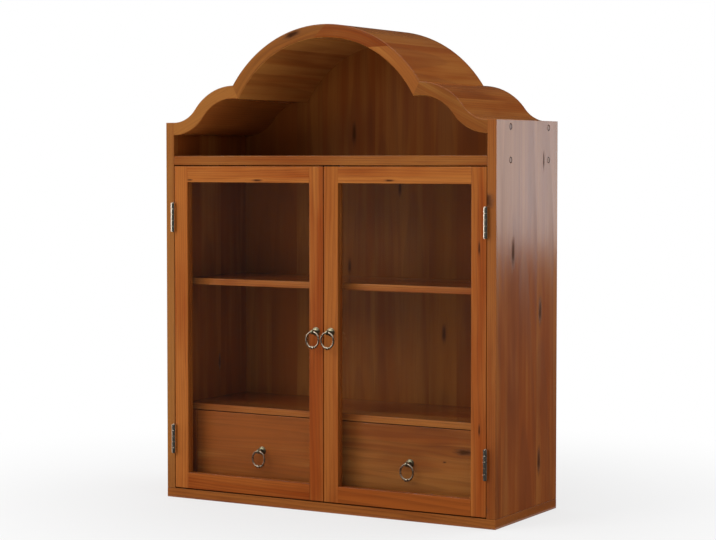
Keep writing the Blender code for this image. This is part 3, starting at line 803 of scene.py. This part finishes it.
for rail, upward in (("top_rail", 1), ("bottom_rail", -1)):
    low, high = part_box(f"right_door_{rail}")
    bar = add_block(f"pine_right_door_{rail}", low, high)
    ease_arrises(bar, door_ease)
    for end, inward in ((low.x, 1), (high.x, -1)):
        near = (end - inward * past, low.y - past, low.z - past)
        cut_pocket(bar, near, (end + inward * (rebate - play), front + lip + play, high.z + past))
    glass_edge = low.z if upward > 0 else high.z
    near = (low.x - past, front + lip, glass_edge + upward * rebate)
    cut_pocket(bar, near, (high.x + past, high.y + past, glass_edge - upward * past))
    members.append((rail, "XZY", bar, mirrored(bar, f"pine_left_door_{rail}")))

seed = 30.0
for name, grain, right, left in members:
    for side, piece in (("right", right), ("left", left)):
        node = f"{side}_door_{name}"
        smooth_faces(piece)
        knots = door_knots.get(node, ())
        door_pine = pine(f"{node}_pine", grain, one_board, seed, *door_tones_and_shade[node], knots, gloss=0.14)
        fit_for(piece, node, "outer_wood", door_pine)
        seed += 1.0


# Glass: a pane of clear float glass in each door, ground at its edges and laid in the rebate from
# behind. A thin pine bead with a rounded inner edge, pinned round the rebate, holds it there.

def show_mixed(tree, share, first, second, end="Material Output"):
    """Let a material or a world show one shader or another."""
    mixed = add_node(tree, "ShaderNodeMixShader", {0: share, 1: first, 2: second}).outputs[0]
    tree.links.new(mixed, tree.nodes[end].inputs["Surface"])


glass, tree, shader = new_material("clear_glass")
shader.inputs["Transmission Weight"].default_value = 1.0
shader.inputs["IOR"].default_value = 1.45
shader.inputs["Roughness"].default_value = 0.0
haze = cloud(tree, split(tree, own_place(tree)), (9.0, 9.0, 9.0), 3.0)
tint = blended(tree, haze, (0.97, 0.985, 0.975, 1), (1.0, 1.0, 1.0, 1))
tree.links.new(tint, shader.inputs["Base Color"])
path = add_node(tree, "ShaderNodeLightPath", {}).outputs
through = maths(tree, "MAXIMUM", path["Is Shadow Ray"], path["Is Diffuse Ray"])
open_air = add_node(tree, "ShaderNodeBsdfTransparent", {"Color": (0.99, 1.0, 0.995, 1)}).outputs[0]
show_mixed(tree, through, shader.outputs[0], open_air)

for side, hand in hands:
    node = f"{side}_door_glass"
    pane = add_block(f"{side}_pane", *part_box(node))
    ease_arrises(pane, 0.0004, 1)
    fit_for(pane, node, "glass", glass)
    node = f"{side}_door_glazing_bead"
    low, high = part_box(node)
    bpy.ops.object.select_all(action="DESELECT")
    place = ((low.x + high.x) / 2, low.y, (low.z + high.z) / 2)
    bpy.ops.mesh.primitive_plane_add(size=1, location=place, rotation=(math.pi / 2, 0, 0))
    bead = settle(f"pine_{side}_glazing_bead", (high.x - low.x, high.z - low.z, 1))
    open_up(bead)
    bpy.ops.mesh.inset(thickness=rebate - play)
    bpy.ops.mesh.delete(type="FACE")
    bpy.ops.mesh.select_all(action="SELECT")
    bpy.ops.mesh.extrude_region_move(TRANSFORM_OT_translate={"value": (0, high.y - low.y, 0)})
    close_up()
    ease_arrises(bead, 0.0012)
    smooth_faces(bead)
    bead_pine = pine(f"{side}_bead_pine", "ZXY", one_board, 40.0 + hand, 0.9)
    fit_for(bead, node, "outer_wood", bead_pine)
    node = f"{side}_door_strike"
    strike = add_block(f"{side}_strike_plate", *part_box(node))
    pick_faces(strike, lambda face: face.normal.y > 0.9)
    bpy.ops.mesh.inset(thickness=0.0025, depth=-0.0003)
    finish_plate(strike, node)


# Hinges: four butt hinges of aged metal. Each has two leaves let into the wood, five knuckles rolled
# round a pin with two rounded heads, and three slotted screws in each leaf.

hinge_metal = plain_metal("hinge_metal", (0.95, 0.86, 0.70), (0.36, 0.32, 0.24), 0.12, 0.06, 0.03)
half_gap = 0.00075
knuckle_pitch = 0.0125
knuckle_gap = 0.0005
pin_hole = 0.0022
leaf_front = hinge_y + barrel_radius + play
leaf_rear = front + 0.015
strap_front = hinge_y + 0.003
strap_rear = leaf_front + 0.001
screw_back = front + 0.0085
screw_heights = (-0.021, 0.0, 0.021)


def lathe(name, profile, place, turn, steps):
    """Turn an outline of (radius, height) points into a round piece."""
    bpy.ops.object.select_all(action="DESELECT")
    bpy.ops.mesh.primitive_plane_add(size=0.001)
    piece = bpy.context.object
    open_up(piece)
    bpy.ops.mesh.select_mode(type="VERT")
    bpy.ops.mesh.merge(type="CENTER")
    radius, height = profile[0]
    bpy.ops.transform.translate(value=(radius, 0, height))
    for next_radius, next_height in profile[1:]:
        step = (next_radius - radius, 0, next_height - height)
        bpy.ops.mesh.extrude_region_move(TRANSFORM_OT_translate={"value": step})
        radius, height = next_radius, next_height
    bpy.ops.mesh.select_all(action="SELECT")
    bpy.ops.mesh.spin(steps=steps, angle=math.tau, center=(0, 0, 0), axis=(0, 0, 1))
    bpy.ops.mesh.select_all(action="SELECT")
    bpy.ops.mesh.remove_doubles(threshold=weld)
    close_up()
    piece.location = place
    piece.rotation_euler = turn
    return settle(name)


def knuckle(bottom):
    """A short tube with eased ends, rolled round the pin."""
    length = knuckle_pitch - knuckle_gap
    place = (hinge_x, hinge_y, bottom + length / 2)
    tube = add_rod("knuckle", barrel_radius, length, place, sides=40)
    pick_faces(tube, lambda face: abs(face.normal.z) > 0.9)
    bpy.ops.mesh.inset(thickness=barrel_radius - pin_hole)
    bpy.ops.mesh.bridge_edge_loops()
    bpy.ops.object.mode_set(mode="OBJECT")
    ease_arrises(tube, 0.0004, 2)
    return tube


def screw(place, facing):
    """A slotted screw head that sits in its countersink, facing along X."""
    profile = [
        (0, 0.0002), (0.0016, 0.00018), (0.0023, 0.0), (0.0024, -0.0002), (0.0022, -0.0006), (0, -0.0006),
    ]
    head = lathe("screw_head", profile, place, (0, facing * math.pi / 2, 0), 24)
    slot = Vector((0.0006, 0.003, 0.0003))
    middle = Vector(place) + Vector((facing * 0.0003, 0, 0))
    cut_pocket(head, middle - slot, middle + slot)
    return head


bottom = -hinge_length / 2
patterns = {}
for leaf, towards, own in (("side_leaf", 1, (0, 2, 4)), ("door_leaf", -1, (1, 3))):
    face = hinge_x + towards * half_gap
    near_x, far_x = sorted((face, face + towards * leaf_thickness))
    parts = [add_block(leaf, (near_x, leaf_front, bottom), (far_x, leaf_rear, -bottom))]
    ease_arrises(parts[0], 0.0003, 2)
    for number in own:
        start = bottom + number * knuckle_pitch
        parts.append(knuckle(start))
        strap_low = (near_x, strap_front, start + knuckle_gap)
        strap_high = (far_x, strap_rear, start + knuckle_pitch - 2 * knuckle_gap)
        parts.append(add_block("strap", strap_low, strap_high))
    for height in screw_heights:
        parts.append(screw((face, screw_back, height), -towards))
    patterns[leaf] = put_together(f"hinge_{leaf}", parts)
head_start = hinge_length / 2 + play
head = ((0.002, 0.0), (0.0031, 0.0), (0.0031, 0.0006), (0.0026, 0.0011), (0.0015, 0.0014), (0, 0.0014))
upper_head = [(radius, head_start + height) for radius, height in head]
lower_head = [(radius, -height) for radius, height in upper_head[::-1]]
patterns["pin"] = lathe("hinge_pin", lower_head + upper_head, (hinge_x, hinge_y, 0), (0, 0, 0), 32)

for level in hinge_levels:
    pin_low, pin_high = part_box(f"right_{level}_hinge_pin")
    place = (0, 0, (pin_low.z + pin_high.z) / 2)
    for leaf, pattern in patterns.items():
        right = copy_of(pattern, f"right_{level}_hinge_{leaf}_metal", place)
        left = mirrored(right, f"left_{level}_hinge_{leaf}_metal")
        for side, piece in (("right", right), ("left", left)):
            smooth_faces(piece)
            fit_for(piece, f"{side}_{level}_hinge_{leaf}", "hinge_metal", hinge_metal)
for pattern in patterns.values():
    bpy.data.objects.remove(pattern)


# Drawers: each has a pine front and a plainer box of two walls, a back and a thin bottom behind it.
# The walls are lower than the front, and all arrises that a hand meets are eased.

drawer_knots = {
    "left": (),
    "right": ((0.308, 0.143, -0.0896, 0.032, 0.009), (0.262, 0.1195, -0.0896, 0.006, 0.0025)),
}
drawer_tones = {"left": (0.98, -0.7), "right": (0.83, -0.4)}
for side, hand in hands:
    wood = {"knots": drawer_knots[side], "calm": 0.2}
    front_pine = pine(f"{side}_drawer_front_pine", "XZY", 0.062, 50.0 + hand, *drawer_tones[side], **wood)
    box_pine = pine(f"{side}_drawer_box_pine", "YZX", 0.08, 53.0 + hand, 1.25)
    node = f"{side}_drawer_front"
    fit_for(plank(node, 0.0012), node, "inner_wood", front_pine)
    for part in ("bottom", "inner_wall", "outer_wall", "back"):
        node = f"{side}_drawer_{part}"
        fit_for(plank(node, 0.0008), node, "drawer_wood", box_pine)


# Ring pulls: four of cast and patinated metal, two on the doors and two on the drawers. A domed rose
# with a rim and a neck ends in an eye, and an oval ring with a bead between two collars hangs through it.

ring_metal = plain_metal("ring_metal", (0.64, 0.53, 0.40), (0.08, 0.07, 0.055), 0.18, 0.18)
rose_metal = plain_metal("rose_metal", (0.36, 0.32, 0.20), (0.05, 0.045, 0.025), 0.2, 0.2)
ring_half_width = 0.015
ring_half_height = 0.0165
eye_out = 0.0148
dome_radius = 0.0081
dome_foot = 0.0017
dome_rise = 0.0036
dome_steps = 8

rose = [(0, 0.0003), (0.0088, 0.0003), (0.009, 0.0006), (0.009, 0.0012), (0.0086, 0.0016)]
for i in range(dome_steps + 1):
    lean = math.radians(72) * i / dome_steps
    rose.append((dome_radius * math.cos(lean), dome_foot + dome_rise * math.sin(lean)))
rose += [
    (0.0024, 0.0062), (0.0027, 0.0078), (0.0034, 0.0092), (0.0034, 0.0098), (0.0028, 0.0108), (0, 0.0112),
]
stem = lathe("pull_stem", rose, (0, 0, 0), (math.pi / 2, 0, 0), 48)
bpy.ops.object.select_all(action="DESELECT")
bpy.ops.mesh.primitive_torus_add(
    major_segments=40, minor_segments=16, major_radius=0.0041, minor_radius=0.0014,
    location=(0, -eye_out, 0), rotation=(0, math.pi / 2, 0),
)
eye = settle("pull_eye", (1, 1, 1.7))
base_pattern = put_together("pull_base_pattern", [stem, eye])

ring_centre = Vector((0, -eye_out, -ring_half_height))
bpy.ops.object.select_all(action="DESELECT")
bpy.ops.mesh.primitive_torus_add(
    major_segments=160, minor_segments=20, major_radius=ring_half_width, minor_radius=0.0019,
    location=ring_centre, rotation=(math.pi / 2, 0, 0),
)
ring_pattern = settle("pull_ring_pattern", (1, ring_half_height / ring_half_width, 1))


def swell(start, end, amount):
    """Fatten or thin the ring's wire between two distances from its lowest point, on both sides."""
    bpy.ops.object.mode_set(mode="EDIT")
    bpy.ops.mesh.select_mode(type="VERT")
    bpy.ops.mesh.select_all(action="DESELECT")
    bpy.ops.object.mode_set(mode="OBJECT")
    for vertex in ring_pattern.data.vertices:
        place = vertex.co - ring_centre
        turn = abs(math.atan2(place.x, -place.z)) * ring_half_width
        vertex.select = start <= turn < end
    bpy.ops.object.mode_set(mode="EDIT")
    bpy.ops.transform.shrink_fatten(value=amount)
    bpy.ops.object.mode_set(mode="OBJECT")


take_up(ring_pattern)
for start, end, amount in (
    (0.0, 0.0008, 0.0011), (0.0008, 0.0014, 0.00105), (0.0014, 0.002, 0.0009),
    (0.002, 0.0026, 0.0006), (0.0026, 0.0032, 0.0001), (0.0032, 0.0041, -0.0005),
    (0.0041, 0.0047, 0.0003), (0.0047, 0.0059, 0.0007), (0.0059, 0.0065, 0.0004),
):
    swell(start, end, amount)

for side in ("left", "right"):
    for carrier in ("door", "drawer"):
        base_low, base_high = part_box(f"{side}_{carrier}_pull_base")
        middle = (base_low + base_high) / 2
        place = (middle.x, base_high.y + play, middle.z)
        for pattern, part, metal in (
            (base_pattern, "pull_base", rose_metal), (ring_pattern, "pull_ring", ring_metal),
        ):
            piece = copy_of(pattern, f"{side}_{carrier}_{part}_metal", place)
            bpy.ops.object.shade_smooth_by_angle(angle=math.radians(35))
            fit_for(piece, f"{side}_{carrier}_{part}", "pull_metal", metal)
bpy.data.objects.remove(base_pattern)
bpy.data.objects.remove(ring_pattern)


# Studio: a white floor that keeps the soft shadow, a white world and five soft lamps, of which the strip
# at the rear right shines along the lacquered side. Dark cards keep the glass and the lacquer clear.

bpy.context.scene.view_settings.view_transform = "Standard"
lens = bpy.data.cameras.new("camera")
lens.lens = 100
lens.sensor_width = 36
lens.shift_y = -0.03
camera = bpy.data.objects.new("camera", lens)
camera.location = (2.1397, -3.6823, 0.7369)
camera.rotation_euler = (math.radians(90 - 2.534), 0, math.radians(30.107))
bpy.context.scene.collection.objects.link(camera)
bpy.context.scene.camera = camera


def seen(tree):
    """Whether a ray comes from the camera, from a mirror or through glass."""
    path = add_node(tree, "ShaderNodeLightPath", {}).outputs
    first = maths(tree, "MAXIMUM", path["Is Camera Ray"], path["Is Glossy Ray"])
    return maths(tree, "MAXIMUM", first, path["Is Transmission Ray"])


white_light = {"Color": (1, 1, 1, 1), "Strength": 1.0}
soft_light = {"Color": (1, 1, 1, 1), "Strength": 0.57}
world = bpy.data.worlds.new("white_room")
bpy.context.scene.world = world
world.use_nodes = True
tree = world.node_tree
soft = add_node(tree, "ShaderNodeBackground", soft_light).outputs[0]
white = add_node(tree, "ShaderNodeBackground", white_light).outputs[0]
show_mixed(tree, seen(tree), soft, white, "World Output")


def lamp(name, place, target, width, height, power, colour=(1, 1, 1)):
    """A soft lamp that points at a place and isn't seen by the camera."""
    area = bpy.data.lights.new(name, "AREA")
    area.shape = "RECTANGLE"
    area.size = width
    area.size_y = height
    area.energy = power
    area.color = colour
    light = bpy.data.objects.new(name, area)
    light.location = place
    light.rotation_euler = (Vector(target) - Vector(place)).to_track_quat("-Z", "Y").to_euler()
    light.visible_camera = False
    bpy.context.scene.collection.objects.link(light)


lamp("front_lamp", (-2.0, -3.6, 2.7), (0, 0, 0.5), 2.4, 2.4, 79)
lamp("floor_lamp", (-0.3, -1.7, 0.02), (-0.1, -0.5, 0.9), 2.6, 1.4, 16)
lamp("top_lamp", (1.3, 0.8, 3.4), (0.2, 0, 0.9), 1.8, 1.8, 26)
lamp("left_lamp", (-3.2, -0.9, 0.9), (0, 0, 0.6), 1.6, 2.2, 22)
lamp("rear_strip", (3.2, 5.2, 1.05), (0.4, 0, 0.6), 2.6, 1.5, 21, (0.85, 0.97, 1.0))

floor_white, tree, shader = new_material("floor_white")
shader.inputs["Base Color"].default_value = (0.75, 0.75, 0.75, 1)
shader.inputs["Roughness"].default_value = 1.0
shader.inputs["Specular IOR Level"].default_value = 0.0
away = length_of(tree, own_place(tree))
share = times(tree, seen(tree), ramp(tree, away, 0.3, 1.4, 0.68, 1.0))
white = add_node(tree, "ShaderNodeEmission", white_light).outputs[0]
show_mixed(tree, share, shader.outputs[0], white)
bpy.ops.object.select_all(action="DESELECT")
bpy.ops.mesh.primitive_plane_add(size=60, location=(0, 0, -0.0005))
floor = bpy.context.object
floor.name = "floor"
floor.data.materials.append(floor_white)

# The cards are dark only in what a glossy surface mirrors, so that nothing else sees them.
card_grey, tree, shader = new_material("card_grey")
shader.inputs["Base Color"].default_value = (0.02, 0.02, 0.02, 1)
shader.inputs["Roughness"].default_value = 1.0
bounces = add_node(tree, "ShaderNodeLightPath", {}).outputs["Glossy Depth"]
open_air = add_node(tree, "ShaderNodeBsdfTransparent", {}).outputs[0]
show_mixed(tree, maths(tree, "MINIMUM", bounces, 1.0), open_air, shader.outputs[0])


def dark_card(name, corners):
    """A flat card between four corners that only a glossy surface sees."""
    bpy.ops.object.select_all(action="DESELECT")
    bpy.ops.mesh.primitive_plane_add(size=1)
    card = bpy.context.object
    card.name = name
    for vertex, corner in zip(card.data.vertices, corners):
        vertex.co = corner
    card.data.materials.append(card_grey)
    card.visible_camera = False
    card.visible_diffuse = False
    card.visible_shadow = False


dark_card("front_card", ((-2.6, -0.2, 0.002), (2.2, -0.2, 0.002), (-5.5, -4.3, 2.05), (4.5, -4.3, 2.05)))
dark_card("right_card", ((3.2, -3.7, 0.0), (3.2, 1.9, 0.0), (3.2, -3.7, 2.5), (3.2, 1.9, 2.5)))
dark_card("rear_card", ((-3.4, 3.8, 0.1), (1.6, 3.8, 0.1), (-3.4, 3.8, 3.9), (1.6, 3.8, 3.9)))
dark_card("low_card", ((-1.2, 0.2, 0.004), (1.5, -1.4, 0.004), (3.0, 12.5, 0.004), (9.0, 11.0, 0.004)))
